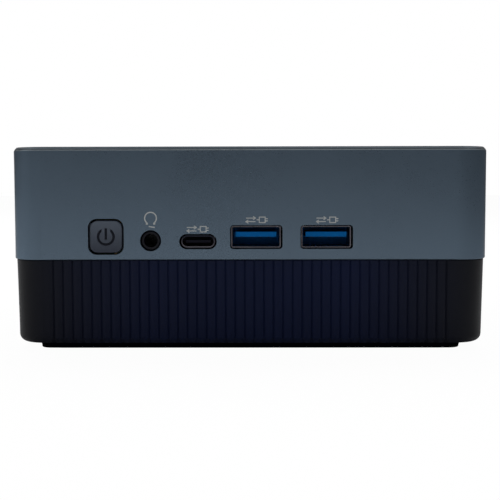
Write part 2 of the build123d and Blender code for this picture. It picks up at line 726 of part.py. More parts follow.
with BuildPart() as memory_sockets:
    for x in MODULE_X:
        with BuildSketch(Plane.XY.offset(BOARD_TOP)):
            with Locations((x - 14.5, 0)):
                Rectangle(4.5, 74.0)
        extrude(amount=5.0)
        with BuildSketch(Plane.XY.offset(BOARD_TOP)):
            with Locations((x, -36.0), (x, 36.0)):
                Rectangle(27.0, 2.0)
        extrude(amount=4.4)
        with BuildSketch(Plane.XY.offset(MODULE_Z)):
            with Locations((x - 12.7, 0)):
                Rectangle(1.2, MODULE[1] + 2 * GAP)
        extrude(amount=MODULE[2], mode=Mode.SUBTRACT)
save(memory_sockets, "memory_sockets")

with BuildPart() as memory_modules:
    with BuildSketch(Plane.XY.offset(MODULE_Z)):
        with Locations(*[(x + 1.8, 0) for x in MODULE_X]):
            Rectangle(MODULE[0], MODULE[1])
    extrude(amount=MODULE[2])
save(memory_modules, "memory_modules")

with BuildPart() as memory_chips:
    with BuildSketch(Plane.XY.offset(MODULE_Z + MODULE[2])):
        for x in MODULE_X:
            with Locations((x + 3.2, 0)):
                with GridLocations(11.5, 15.5, 2, 4):
                    Rectangle(8.0, 12.0)
    extrude(amount=1.0)
save(memory_chips, "memory_chips")


def card(name, place, width, chips, screw_r=1.9):
    """A card on edge contacts, held by a screw in the half round of its far end."""
    x, near, far = place
    with BuildPart() as piece:
        with BuildSketch(Plane.XY.offset(CARD_Z)):
            with Locations((x, (near + far) / 2)):
                Rectangle(width, far - near)
            with Locations((x, far)):
                Circle(screw_r, mode=Mode.SUBTRACT)
        extrude(amount=CARD_THICK)
        with BuildSketch(Plane.XY.offset(CARD_Z + CARD_THICK)):
            for y, long, wide in chips:
                with Locations((x, y)):
                    RectangleRounded(wide, long, 0.4)
        extrude(amount=1.2)
    save(piece, name)


card("ssd_card", SSD, 22.0, [(-22.0, 13.0, 17.0), (-3.0, 10.0, 10.0), (12.0, 14.0, 18.0),
                             (28.5, 14.0, 18.0)])
card("wifi_card", WIFI, 21.6, [(-7.5, 17.0, 18.0)])

with BuildPart() as card_sockets:
    for x, near, far in (SSD, WIFI):
        with BuildSketch(Plane.XY.offset(BOARD_TOP)):
            with Locations((x, near - 2.3)):
                Rectangle(22.0, 6.2)
        extrude(amount=4.6)
        with BuildSketch(Plane.XY.offset(CARD_Z)):
            with Locations((x, near + 0.35)):
                Rectangle(23.0, 0.9)
        extrude(amount=CARD_THICK, mode=Mode.SUBTRACT)
save(card_sockets, "card_sockets")

card_ends = [(x, far) for x, near, far in (SSD, WIFI)]
spacers("card_posts", [(card_ends, BOARD_TOP, CARD_Z - BOARD_TOP, 2.6, 1.0)])
screws("card_screws", card_ends, CARD_Z + CARD_THICK, (2.6, 0.9), (0.95, 3.4), up=False)

with BuildPart() as cell_holder:
    with Locations(*spots_3d([CELL], BOARD_TOP)):
        Cylinder(9.4, 3.0, align=UP)
    with Locations(*spots_3d([CELL], BOARD_TOP + 0.6)):
        Cylinder(8.1, 2.4, align=UP, mode=Mode.SUBTRACT)
save(cell_holder, "cell_holder")

with BuildPart() as coin_cell:
    with Locations(*spots_3d([CELL], BOARD_TOP + 0.6)):
        Cylinder(8.0, 3.2, align=UP)
    fillet(coin_cell.edges().filter_by(GeomType.CIRCLE), radius=0.4)
save(coin_cell, "coin_cell")

# ---------------------------------------------------------------- antennas
ANTENNA_Y = (-38.0, 40.0)
antenna_x = HALF_X - LOWER_INNER
with BuildPart() as antennas:
    with BuildSketch(Plane.YZ.offset(antenna_x - 0.8)):
        with Locations(*[(y, 15.0) for y in ANTENNA_Y]):
            RectangleRounded(15.0, 9.0, 0.8)
    extrude(amount=0.8)
save(antennas, "antennas")

lead_starts = [(44.0, 5.2), (52.0, 5.2)]
lead_top = CARD_Z + CARD_THICK
lead_paths = [
    [(44.0, 7.0), (50.0, 12.0, 33.5), (58.0, 18.0, 31.0), (58.5, 18.2, 26.0), (58.4, 24.0, 19.0)],
    [(52.0, 7.0), (54.5, 10.0, 32.0), (58.0, 14.0, 30.5), (58.5, 14.2, 26.0), (58.4, 4.0, 12.0)],
]
with BuildPart() as antenna_leads:
    for path, end_y in zip(lead_paths, (ANTENNA_Y[1] - 6.5, ANTENNA_Y[0] + 6.5)):
        start = (path[0][0], path[0][1], lead_top + 0.75)
        points = [start] + path[1:] + [(antenna_x - 1.2, end_y, 15.0)]
        with BuildLine() as lead:
            Spline(*points)
        with BuildSketch(Plane(origin=lead.line @ 0, z_dir=lead.line % 0)):
            Circle(0.4)
        sweep(path=lead.line)
        with Locations(Location((start[0], start[1], lead_top))):
            Cylinder(1.2, 1.2, align=UP)
save(antenna_leads, "antenna_leads")

# ---------------------------------------------------------------- fan
with BuildPart() as fan_housing:
    with BuildSketch(Plane.XY.offset(FAN_Z)):
        Circle(FAN_R)
        with Locations((0, DUCT[1] / 2)):
            Rectangle(2 * DUCT[0], DUCT[1])
    extrude(amount=FAN_TOP - FAN_Z)
    with Locations(*spots_3d(FAN_LUGS, FAN_TOP)):
        Cylinder(3.4, 1.5, align=DOWN)
    for sx in (-1, 1):
        with Locations(Location((sx * 36.5, -16.0, FAN_TOP), (0, 0, sx * 30)),
                       Location((sx * 32.5, 31.0, FAN_TOP), (0, 0, sx * 45))):
            Box(8.0, 5.0, 1.5, align=DOWN)
    with BuildSketch(Plane.XY.offset(FAN_Z + FAN_WALL)):
        Circle(FAN_R - FAN_WALL)
        with Locations((0, (DUCT[1] + 2) / 2)):
            Rectangle(2 * (DUCT[0] - FAN_WALL), DUCT[1] + 2)
    extrude(amount=FAN_TOP - FAN_Z - 2 * FAN_WALL, mode=Mode.SUBTRACT)
    with Locations(*spots_3d([(0, 0)], FAN_Z)):
        Cylinder(24.0, FAN_WALL, align=UP, mode=Mode.SUBTRACT)
    with Locations(*spots_3d(FAN_LUGS, FAN_TOP)):
        Cylinder(1.1, 1.5, align=DOWN, mode=Mode.SUBTRACT)
save(fan_housing, "fan_housing")

rotor_z = FAN_Z + 1.9
rotor_top = 16.0
with BuildPart() as fan_impeller:
    with Locations(*spots_3d([(0, 0)], rotor_z)):
        Cylinder(13.0, rotor_top - rotor_z, align=UP)
    fillet(fan_impeller.faces().sort_by(Axis.Z)[0].edges(), radius=0.8)
    # swept-back blades
    with BuildSketch(Plane.XY.offset(rotor_z)):
        for i in range(BLADES):
            with BuildLine(Plane.XY.rotated((0, 0, 360 / BLADES * i))):
                ThreePointArc((12.5, 0), (21.5, 2.6), (ROTOR_R - 1.8, 9.2))
            trace(line_width=0.7)
    extrude(amount=rotor_top - rotor_z - 0.6)
    with BuildSketch(Plane.XY.offset(rotor_top - 1.6)):
        Circle(ROTOR_R)
        Circle(ROTOR_R - 2.0, mode=Mode.SUBTRACT)
    extrude(amount=1.0)
    # cup round the motor, and the bore on the motor's pin
    with BuildSketch(Plane.XY.offset(rotor_z + 1.2)):
        Circle(11.5)
        Circle(2.4, mode=Mode.SUBTRACT)
    extrude(amount=rotor_top - rotor_z, mode=Mode.SUBTRACT)
    with Locations(*spots_3d([(0, 0)], rotor_z + 1.2)):
        Cylinder(1.05, 20, align=UP, mode=Mode.SUBTRACT)
    with Locations(*spots_3d([(0, 0)], rotor_z + 4.0)):
        Cylinder(2.5, 20, align=UP, mode=Mode.SUBTRACT)
save(fan_impeller, "fan_impeller")

with BuildPart() as fan_motor:
    with Locations(*spots_3d([(0, 0)], FAN_TOP - FAN_WALL)):
        Cylinder(12.0, 0.6, align=DOWN)
        Cylinder(10.6, 5.2, align=DOWN)
        Cylinder(1.0, 8.6, align=DOWN)
save(fan_motor, "fan_motor")

screws("fan_screws", FAN_LUGS, FAN_TOP - 1.5, (2.0, 1.1), (0.9, 6.0))

# ---------------------------------------------------------------- heat sink
with BuildPart() as cold_plate:
    with BuildSketch(Plane.XY.offset(PIPE_TOP)):
        with Locations((0, -1)):
            RectangleRounded(50, 38, 2.5)
        with Locations(*COOLER_SCREWS):
            Circle(1.1, mode=Mode.SUBTRACT)
    extrude(amount=PLATE_TOP - PIPE_TOP)
save(cold_plate, "cold_plate")

pipe_runs = [
    [(-22, -7), (26, -7), (26, 53.4), (-27, 53.4)],
    [(22, 5), (-26, 5), (-26, 46.6), (20, 46.6)],
]
with BuildPart() as heat_pipes:
    for run in pipe_runs:
        with BuildSketch(Plane.XY.offset(PIPE_Z)):
            with BuildLine():
                FilletPolyline(*run, radius=8.0)
            trace(line_width=PIPE_WIDTH)
        extrude(amount=PIPE_TOP - PIPE_Z)
    fillet(heat_pipes.faces().filter_by(Axis.Z).edges(), radius=0.9)
save(heat_pipes, "heat_pipes")

fin_pitch = 2 * (DUCT[0] - FAN_WALL) / (FIN_COUNT - 1)
with BuildPart() as fin_stack:
    with BuildSketch(facing_front(FINS_Y[1])):
        with Locations((0, (FAN_Z + 1.2 + PIPE_Z) / 2)):
            with GridLocations(fin_pitch, 1, FIN_COUNT, 1):
                Rectangle(0.35, PIPE_Z - FAN_Z - 1.2)
        with Locations((0, PIPE_Z - 0.2), (0, FAN_Z + 1.4)):
            Rectangle(2 * (DUCT[0] - FAN_WALL), 0.4)
    extrude(amount=FINS_Y[1] - FINS_Y[0])
save(fin_stack, "fin_stack")

spacers("board_spacers", [
    (COOLER_SCREWS, PLATE_TOP, BOARD_Z - PLATE_TOP, 2.2, 0.95),
    (FAN_LUGS, FAN_TOP, BOARD_Z - FAN_TOP, 2.2, 0.95),
])
screws("cooler_screws", COOLER_SCREWS, PIPE_TOP, (2.1, 1.2), (0.9, 4.8))

# ---------------------------------------------------------------- drive on its tray
drive_holes = [
    (DRIVE_AT[0] + sx * DRIVE_HOLES[0] / 2, DRIVE_AT[1] + 2.3 + sy * DRIVE_HOLES[1] / 2)
    for sx, sy in CORNERS
]
with BuildPart() as drive_tray:
    with BuildSketch(Plane.XY.offset(TRAY_Z)):
        outline(TRAY, 9.0)
        with Locations(*corner_xy(POST)):
            Circle(1.7, mode=Mode.SUBTRACT)
        with Locations(*drive_holes):
            Circle(1.7, mode=Mode.SUBTRACT)
        # opening over the cards, slot for the ribbon and lightening holes under the drive
        with Locations((35.5, 0)):
            RectangleRounded(37.0, 86.0, 4.0, mode=Mode.SUBTRACT)
        with Locations((-36.0, -53.0)):
            RectangleRounded(19.0, 6.0, 1.5, mode=Mode.SUBTRACT)
        with Locations((DRIVE_AT[0], 0)):
            with GridLocations(13.0, 13.0, 4, 6):
                Circle(4.0, mode=Mode.SUBTRACT)
    extrude(amount=TRAY_TOP - TRAY_Z)
save(drive_tray, "drive_tray")

with BuildPart() as drive:
    with BuildSketch(Plane.XY.offset(TRAY_TOP)):
        with Locations(DRIVE_AT):
            RectangleRounded(DRIVE[0], DRIVE[1], 2.0)
    extrude(amount=DRIVE[2])
    fillet(drive.faces().sort_by(Axis.Z)[-1].edges(), radius=0.5)
    with Locations(*spots_3d(drive_holes, TRAY_TOP)):
        Cylinder(1.3, 3.0, align=UP, mode=Mode.SUBTRACT)
    # plug bay in its front end
    with Locations(Location((-36.0, DRIVE_AT[1] - DRIVE[1] / 2, TRAY_TOP + 0.8))):
        Box(36.0, 8.0, 3.6, align=UP, mode=Mode.SUBTRACT)
save(drive, "drive")
screws("drive_screws", drive_holes, TRAY_Z, (2.6, 1.2), (1.3, 3.6))
screws("tray_screws", corner_xy(POST), TRAY_TOP, (2.7, 1.5), (1.5, 6.5), up=False)

with BuildPart() as drive_ribbon:
    plug_y = DRIVE_AT[1] - DRIVE[1] / 2
    plug_z = TRAY_TOP + 2.6
    with BuildSketch(Plane.YZ.offset(-36.0 - 8.0)):
        with BuildLine():
            FilletPolyline((plug_y - 1.0, plug_z), (-53.0, plug_z), (-53.0, 36.0), (-43.0, 36.0),
                           (-43.0, 29.5), radius=1.6)
        trace(line_width=0.35)
    extrude(amount=16.0)
    with Locations(Location((-36.0, plug_y + 1.0, TRAY_TOP + 1.0))):
        Box(29.4, 5.6, 3.2, align=UP)
    with Locations(Location((-36.0, -43.0, 28.4))):
        Box(17.4, 3.0, 3.2, align=UP)
save(drive_ribbon, "drive_ribbon")

with BuildPart() as ribbon_socket:
    with Locations(Location((-36.0, -43.0, BOARD_TOP))):
        Box(19.0, 4.4, 3.0, align=UP)
    with Locations(Location((-36.0, -43.0, 28.4))):
        Box(17.4, 3.0, 3.0, align=UP, mode=Mode.SUBTRACT)
save(ribbon_socket, "ribbon_socket")
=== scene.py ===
"""Looks of a desktop mini PC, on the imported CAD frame. Metres, +Z up, the front panel faces -Y."""
import math
import random
from collections import namedtuple

import bmesh
import bpy
from mathutils import Matrix, Vector


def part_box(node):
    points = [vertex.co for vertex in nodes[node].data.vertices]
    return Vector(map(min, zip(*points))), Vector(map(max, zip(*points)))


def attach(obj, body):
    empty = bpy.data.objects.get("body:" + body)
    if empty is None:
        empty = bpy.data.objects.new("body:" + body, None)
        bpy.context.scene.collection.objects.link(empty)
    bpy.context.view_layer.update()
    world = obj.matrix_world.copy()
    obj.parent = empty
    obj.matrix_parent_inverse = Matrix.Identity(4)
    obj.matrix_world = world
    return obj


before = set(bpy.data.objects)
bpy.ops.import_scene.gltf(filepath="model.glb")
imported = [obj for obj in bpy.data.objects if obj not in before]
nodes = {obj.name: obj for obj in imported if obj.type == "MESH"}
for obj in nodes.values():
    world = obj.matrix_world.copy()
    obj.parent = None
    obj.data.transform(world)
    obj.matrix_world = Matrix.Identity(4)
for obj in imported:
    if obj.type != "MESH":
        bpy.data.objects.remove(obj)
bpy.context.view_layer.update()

scene = bpy.context.scene
MM = 0.001

# ------------------------------------------------------------------ materials


def srgb(r, g, b):
    """0-255 display values to the linear values that shaders take."""
    def line(v):
        v /= 255
        return v / 12.92 if v <= 0.04045 else ((v + 0.055) / 1.055) ** 2.4
    return (line(r), line(g), line(b), 1.0)


class Tree:
    """A node tree with short calls for adding and linking nodes."""

    def __init__(self, owner):
        owner.use_nodes = True
        self.tree = owner.node_tree
        self.tree.nodes.clear()

    def add(self, kind, **settings):
        node = self.tree.nodes.new(kind)
        for key, value in settings.items():
            setattr(node, key, value)
        return node

    def link(self, a, b):
        self.tree.links.new(a, b)

    def feed(self, socket, value):
        """Links another node's output to the socket, or sets a constant on it."""
        if hasattr(value, "links"):
            self.link(value, socket)
        else:
            socket.default_value = value

    def math(self, op, a, b=0.0):
        node = self.add("ShaderNodeMath", operation=op)
        for socket, value in zip(node.inputs, (a, b)):
            self.feed(socket, value)
        return node.outputs[0]

    def span(self, value, low, high, start=0.0, end=1.0, smooth=False):
        """Maps start..end to low..high, clamped."""
        node = self.add("ShaderNodeMapRange")
        if smooth:
            node.interpolation_type = "SMOOTHSTEP"
        self.link(value, node.inputs["Value"])
        node.inputs["From Min"].default_value = start
        node.inputs["From Max"].default_value = end
        node.inputs["To Min"].default_value = low
        node.inputs["To Max"].default_value = high
        return node.outputs["Result"]

    def axes(self, coords):
        """The X, Y and Z of these coordinates."""
        split = self.add("ShaderNodeSeparateXYZ")
        self.link(coords, split.inputs[0])
        return split.outputs


class Graph(Tree):
    """A material's node tree, with a Principled shader at its end."""

    def __init__(self, name):
        self.material = bpy.data.materials.new(name)
        super().__init__(self.material)
        self.out = self.add("ShaderNodeOutputMaterial")
        self.shader = self.add("ShaderNodeBsdfPrincipled")
        self.link(self.shader.outputs[0], self.out.inputs[0])
        self.coords = self.add("ShaderNodeTexCoord").outputs["Object"]

    def set(self, **values):
        """Constants on the shader's own sockets, with _ for each space in their names."""
        for key, value in values.items():
            self.shader.inputs[key.replace("_", " ")].default_value = value

    def scaled(self, stretch):
        """Object coordinates, stretched: a small number makes a long grain along that axis."""
        mapping = self.add("ShaderNodeMapping")
        mapping.inputs["Scale"].default_value = stretch
        self.link(self.coords, mapping.inputs[0])
        return mapping.outputs[0]

    def noise(self, scale, detail=3.0, rough=0.6, coords=None):
        node = self.add("ShaderNodeTexNoise")
        node.inputs["Scale"].default_value = scale
        node.inputs["Detail"].default_value = detail
        node.inputs["Roughness"].default_value = rough
        self.link(coords or self.coords, node.inputs["Vector"])
        return node.outputs["Fac"]

    def mix(self, fac, a, b):
        """Mixes two colors. The color sockets of a Mix node are its 7th and 8th."""
        node = self.add("ShaderNodeMix", data_type="RGBA")
        for index, value in ((0, fac), (6, a), (7, b)):
            self.feed(node.inputs[index], value)
        return node.outputs[2]

    def rounded(self, radius):
        """Normals of an edge rounded by radius, and a mask that is 1 on the edge."""
        bevel = self.add("ShaderNodeBevel", samples=4)
        bevel.inputs["Radius"].default_value = radius
        dot = self.add("ShaderNodeVectorMath", operation="DOT_PRODUCT")
        self.link(bevel.outputs[0], dot.inputs[0])
        self.link(self.add("ShaderNodeNewGeometry").outputs["Normal"], dot.inputs[1])
        return bevel.outputs[0], self.span(dot.outputs["Value"], 1.0, 0.0, 0.80, 0.995)

    def bump(self, height, distance, strength=1.0, normal=None):
        node = self.add("ShaderNodeBump")
        node.inputs["Distance"].default_value = distance
        node.inputs["Strength"].default_value = strength
        self.link(height, node.inputs["Height"])
        if normal is not None:
            self.link(normal, node.inputs["Normal"])
        return node.outputs[0]


def scale_color(color, k):
    return (min(color[0] * k, 1), min(color[1] * k, 1), min(color[2] * k, 1), 1.0)


def surface(name, color, metallic=0.0, rough=0.5, grain=2500.0, bump=0.01, blotch=60.0,
            vary=0.12, rough_vary=0.06, wear=0.3, wear_color=None, edge=0.12, stretch=None,
            specular=0.5, band=None, sides=None, grazing=1.0):
    """A surface with fine grain, soft patches, rounded and slightly worn edges. bump in mm.
    band = (low, high, color) fades to another color between two heights in metres, which paints
    light or shade by height, and sides = (near, far, color) fades to another color between two
    distances from the middle of the front, which keeps the body color there as a painted reflection.
    grazing below 1 dims what is mirrored at flat angles."""
    g = Graph(name)
    fine_coords = g.scaled(stretch) if stretch else g.coords
    fine = g.noise(grain, 2.0, 0.65, fine_coords)
    broad = g.noise(blotch, 3.0, 0.55)
    body = g.mix(g.span(broad, 0.0, 1.0, 0.3, 0.7), scale_color(color, 1 - vary),
                 scale_color(color, 1 + vary))
    body = g.mix(g.span(fine, 0.0, 0.6, 0.35, 0.75), body, scale_color(color, 1 + 2.2 * vary))
    normal, on_edge = g.rounded(edge * MM)
    worn = g.math("MULTIPLY", on_edge, g.span(g.noise(700.0, 3.0), 0.25 * wear, wear, 0.35, 0.65))
    body = g.mix(worn, body, wear_color or scale_color(color, 2.4))
    axes = g.axes(g.coords)
    # painted light and shade by height: fades to the band's color between two heights
    if band:
        low, high, tint = band
        body = g.mix(g.span(axes["Z"], 0.0, 1.0, low, high), body, tint)
    # painted reflection: the body color stays on the middle of the front, the rest fades to the
    # sides color
    if sides:
        near, far, tint = sides
        back = g.math("SUBTRACT", axes["Y"], shell_lo.y - near)
        away = g.math("MAXIMUM", g.math("ABSOLUTE", axes["X"]), back)
        body = g.mix(g.span(away, 0.0, 1.0, near, far), body, tint)
    g.link(body, g.shader.inputs["Base Color"])
    g.link(g.span(g.math("ADD", fine, broad), rough - rough_vary, rough + rough_vary, 0.7, 1.3),
           g.shader.inputs["Roughness"])
    g.link(g.bump(fine, bump * MM, 0.7, normal), g.shader.inputs["Normal"])
    g.set(Metallic=metallic, Specular_IOR_Level=specular,
          Specular_Tint=(grazing, grazing, grazing, 1))
    return g.material


def board(name, mask, track, pad):
    """Circuit board: solder mask over routed tracks, with plated pads and vias."""
    g = Graph(name)
    tracks = []
    for turn, scale in ((0.0, 420.0), (1.5708, 360.0)):
        mapping = g.add("ShaderNodeMapping")
        mapping.inputs["Rotation"].default_value = (0, 0, turn)
        g.link(g.coords, mapping.inputs[0])
        brick = g.add("ShaderNodeTexBrick", offset=0.37, squash=0.6, squash_frequency=3)
        g.link(mapping.outputs[0], brick.inputs["Vector"])
        brick.inputs["Scale"].default_value = scale
        brick.inputs["Mortar Size"].default_value = 0.035
        brick.inputs["Mortar Smooth"].default_value = 0.2
        brick.inputs["Brick Width"].default_value = 3.1
        tracks.append(brick.outputs["Fac"])
    either = g.math("MAXIMUM", tracks[0], tracks[1])
    routed = g.math("MULTIPLY", either, g.span(g.noise(90.0, 2.0), 0.0, 1.0, 0.42, 0.5))
    cells = g.add("ShaderNodeTexVoronoi", distance="CHEBYCHEV")
    g.link(g.coords, cells.inputs["Vector"])
    cells.inputs["Scale"].default_value = 330.0
    cells.inputs["Randomness"].default_value = 0.75
    pads = g.math("MULTIPLY", g.span(cells.outputs["Distance"], 1.0, 0.0, 0.13, 0.16),
                  g.span(g.noise(160.0, 1.0), 0.0, 1.0, 0.55, 0.58))
    color = g.mix(routed, scale_color(mask, 0.9), track)
    color = g.mix(g.span(g.noise(45.0), 0.0, 0.35, 0.3, 0.7), color, scale_color(mask, 1.5))
    color = g.mix(pads, color, pad)
    g.link(color, g.shader.inputs["Base Color"])
    g.link(pads, g.shader.inputs["Metallic"])
    g.link(g.span(g.noise(1500.0), 0.3, 0.45), g.shader.inputs["Roughness"])
    height = g.math("ADD", g.math("MULTIPLY", routed, 0.6), g.math("MULTIPLY", pads, 0.4))
    normal, _ = g.rounded(0.1 * MM)
    g.link(g.bump(height, 0.03 * MM, 0.8, normal), g.shader.inputs["Normal"])
    return g.material


def fabric_mesh(name, color):
    """Fine woven filter mesh."""
    g = Graph(name)
    waves = []
    for axis in ("X", "Y"):
        wave = g.add("ShaderNodeTexWave", wave_type="BANDS", bands_direction=axis)
        g.link(g.coords, wave.inputs["Vector"])
        wave.inputs["Scale"].default_value = 500.0
        waves.append(wave.outputs["Fac"])
    weave = g.math("MAXIMUM", waves[0], waves[1])
    g.link(g.mix(weave, scale_color(color, 0.3), scale_color(color, 1.6)),
           g.shader.inputs["Base Color"])
    g.link(g.span(weave, 0.9, 0.6), g.shader.inputs["Roughness"])
    g.link(g.bump(weave, 0.1 * MM), g.shader.inputs["Normal"])
    return g.material


shell_lo, shell_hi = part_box("top_shell")
button_lo, button_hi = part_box("power_button")
STEEL = srgb(112, 108, 114)
GOLD = (0.72, 0.48, 0.17, 1)
MATERIALS = {
    "shell_metal": surface("anodised_shell", srgb(93, 108, 122), metallic=0.9, rough=0.3,
                           grain=3600, bump=0.009, blotch=22, vary=0.05, wear=0.25, edge=0.15,
                           wear_color=srgb(108, 120, 131),
                           # painted highlight: the top edge of the rim fades to a lighter color
                           band=(shell_hi.z - 0.3 * MM, shell_hi.z - 0.1 * MM,
                                 srgb(140, 148, 152)), grazing=0.5),
    "cover_metal": surface("anodised_cover", srgb(66, 74, 80), metallic=0.9, rough=0.34,
                           grain=3600, bump=0.012, blotch=18, vary=0.05, wear=0.25, edge=0.12,
                           wear_color=srgb(92, 102, 110)),
    # painted reflection: the navy base color shows only on the middle of the front, fading to plain
    # black at the sides and rear
    "black_plastic": surface("black_shell", srgb(8, 19, 49), rough=0.5, grain=2600, bump=0.02,
                             blotch=30, vary=0.12, wear=0.2, edge=0.12, specular=0.13,
                             wear_color=srgb(36, 38, 46),
                             # painted reflection: beyond these distances the plastic is plain black
                             sides=(25 * MM, 60 * MM, srgb(13, 14, 19))),
    "inner_black": surface("moulded_black", srgb(30, 30, 32), rough=0.45, grain=2200, bump=0.015,
                           edge=0.1),
    "button_grey": surface("button_cap", srgb(50, 55, 67), metallic=0.3, rough=0.4, grain=3400,
                           bump=0.01, blotch=250, vary=0.07, wear=0.5, edge=0.3,
                           wear_color=srgb(88, 96, 106), specular=0.3,
                           # painted highlight: the button cap turns lighter towards its top
                           band=(button_lo.z, button_hi.z - 0.5 * MM, srgb(84, 92, 104))),
    "mark_dark": surface("dark_filling", srgb(22, 25, 34), rough=0.5, grain=3000, bump=0.005,
                         edge=0.05, specular=0.1),
    "foot_rubber": surface("rubber", srgb(14, 14, 15), rough=0.8, grain=1800, bump=0.05,
                           vary=0.2, edge=0.15, specular=0.3),
    "steel": surface("drawn_steel", STEEL, metallic=1.0, rough=0.3, grain=900, bump=0.004,
                     stretch=(1, 0.06, 1), edge=0.1, wear_color=srgb(210, 208, 208)),
    "zinc_screw": surface("zinc", srgb(150, 150, 156), metallic=1.0, rough=0.34, grain=1500,
                          bump=0.008, blotch=400, vary=0.2, edge=0.12),
    "brass_part": surface("turned_brass", (0.6, 0.42, 0.17, 1), metallic=1.0, rough=0.3,
                          grain=1200, stretch=(1, 1, 8), bump=0.008, edge=0.1),
    "gold_contact": surface("gold_plate", GOLD, metallic=1.0, rough=0.22, grain=1800, bump=0.003,
                            edge=0.06),
    "blue_plastic": surface("blue_moulding", srgb(0, 96, 164), rough=0.45, grain=1500, bump=0.01,
                            vary=0.1, edge=0.1, specular=0.06, wear_color=srgb(0, 112, 182)),
    "black_gloss": surface("black_moulding", srgb(7, 9, 19), rough=0.2, grain=1500, bump=0.004,
                           edge=0.15, specular=0.25),
    "board_green": board("green_board", (0.006, 0.045, 0.022, 1), (0.02, 0.11, 0.05, 1), GOLD),
    "board_black": board("black_board", (0.008, 0.009, 0.011, 1), (0.024, 0.026, 0.03, 1), GOLD),
    "chip_black": surface("chip_resin", srgb(33, 33, 35), rough=0.55, grain=2600, bump=0.015,
                          edge=0.08),
    "package_green": surface("package", (0.03, 0.10, 0.06, 1), rough=0.35, grain=900, bump=0.01,
                             edge=0.1),
    "aluminium": surface("rolled_aluminium", srgb(160, 162, 166), metallic=1.0, rough=0.38,
                         grain=1400, stretch=(1, 0.08, 1), bump=0.008, edge=0.08),
    "copper": surface("copper", (0.66, 0.27, 0.14, 1), metallic=1.0, rough=0.34, grain=1300,
                      stretch=(0.1, 1, 1), bump=0.01, blotch=120, vary=0.2, edge=0.2),
    "filter_mesh": fabric_mesh("filter_cloth", (0.03, 0.03, 0.03, 1)),
    "foam": surface("foam", srgb(48, 48, 52), rough=0.95, grain=1400, bump=0.15, edge=0.2,
                    specular=0.1),
    "ribbon_film": surface("polyimide", (0.42, 0.17, 0.025, 1), rough=0.28, grain=900,
                           stretch=(6, 0.05, 0.05), bump=0.01, vary=0.3, edge=0.05),
    "tray_steel": surface("stamped_steel", srgb(158, 160, 166), metallic=1.0, rough=0.36,
                          grain=1200, stretch=(0.06, 1, 1), bump=0.01, edge=0.2),
    "drive_case": surface("drive_metal", srgb(88, 92, 98), metallic=0.9, rough=0.42, grain=2400,
                          bump=0.02, edge=0.3, wear_color=srgb(150, 152, 158)),
}
usb_c_lo, usb_c_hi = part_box("usb_c_shells")
NODE_MATERIALS = {
    "base_plate": surface("black_base", srgb(8, 11, 26), rough=0.6, grain=2600, bump=0.02,
                          blotch=30, vary=0.12, wear=0.2, edge=0.12, specular=0.02,
                          wear_color=srgb(24, 26, 34)),
    # painted shade: a darker copy of the steel that darkens further towards the top of the shells
    "usb_c_shells": surface("steel_painted_shade", srgb(92, 90, 96), metallic=1.0, rough=0.34, grain=900,
                            bump=0.004, stretch=(1, 0.06, 1), edge=0.1,
                            wear_color=srgb(140, 140, 146),
                            band=(usb_c_lo.z + 0.6 * MM, usb_c_hi.z - 0.4 * MM,
                                  srgb(44, 46, 56))),
    "usb_c_tongues": surface("tongue_moulding", srgb(7, 8, 26), rough=0.4, grain=1500, bump=0.004,
                             edge=0.1, specular=0.12, wear_color=srgb(18, 20, 44)),
    # painted shade: a darker copy of the gold for contacts that sit deep in the sockets
    "usb_contacts": surface("gold_painted_shade", srgb(96, 74, 40), metallic=1.0, rough=0.5, grain=1800,
                            bump=0.003, edge=0.06, wear_color=srgb(130, 104, 60)),
    "audio_jack": surface("jack_barrel", srgb(8, 9, 20), rough=0.3, grain=1500, bump=0.004,
                          edge=0.15, specular=0.2, wear_color=srgb(20, 22, 34)),
}
for name, node in nodes.items():
    slot = node.material_slots[0]
    slot.material = NODE_MATERIALS.get(name) or MATERIALS[slot.material.name.split(".")[0]]

PRINT = surface("grey_print", srgb(182, 184, 182), rough=0.6, grain=2500, bump=0.004, vary=0.06,
                edge=0.02, specular=0.3)
PAPER = surface("label_paper", srgb(205, 205, 200), rough=0.7, grain=1300, bump=0.01, vary=0.04,
                edge=0.05, specular=0.2)
CERAMIC = surface("ceramic_parts", (0.30, 0.20, 0.12, 1), rough=0.4, grain=1500, vary=0.4,
                  bump=0.01, blotch=500, edge=0.06)
GREEN_GLOW = surface("green_light_pipe", (0.10, 0.32, 0.08, 1), rough=0.25, grain=900, edge=0.1)
AMBER_GLOW = surface("amber_light_pipe", (0.55, 0.26, 0.02, 1), rough=0.25, grain=900, edge=0.1)

# ------------------------------------------------------------------ mesh helpers


def mesh_object(name, bm, material):
    mesh = bpy.data.meshes.new(name)
    bm.to_mesh(mesh)
    bm.free()
    obj = bpy.data.objects.new(name, mesh)
    obj.data.materials.append(material)
    scene.collection.objects.link(obj)
    return obj


def piece(name, bm, material):
    """Turns a bmesh into a named piece that rides on the case."""
    bmesh.ops.recalc_face_normals(bm, faces=bm.faces)
    obj = mesh_object(name, bm, material)
    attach(obj, "case")


def rounded_block(bm, lo, hi, radius, segments=2):
    """Adds a box with rounded edges between two corners."""
    made = bmesh.ops.create_cube(bm, size=1.0)["verts"]
    size = Vector(hi) - Vector(lo)
    middle = (Vector(hi) + Vector(lo)) / 2
    for v in made:
        v.co = Vector((v.co.x * size.x, v.co.y * size.y, v.co.z * size.z)) + middle
    edges = list({e for v in made for e in v.link_edges})
    bmesh.ops.bevel(bm, geom=edges, offset=radius, segments=segments, profile=0.5,
                    affect="EDGES", clamp_overlap=True)


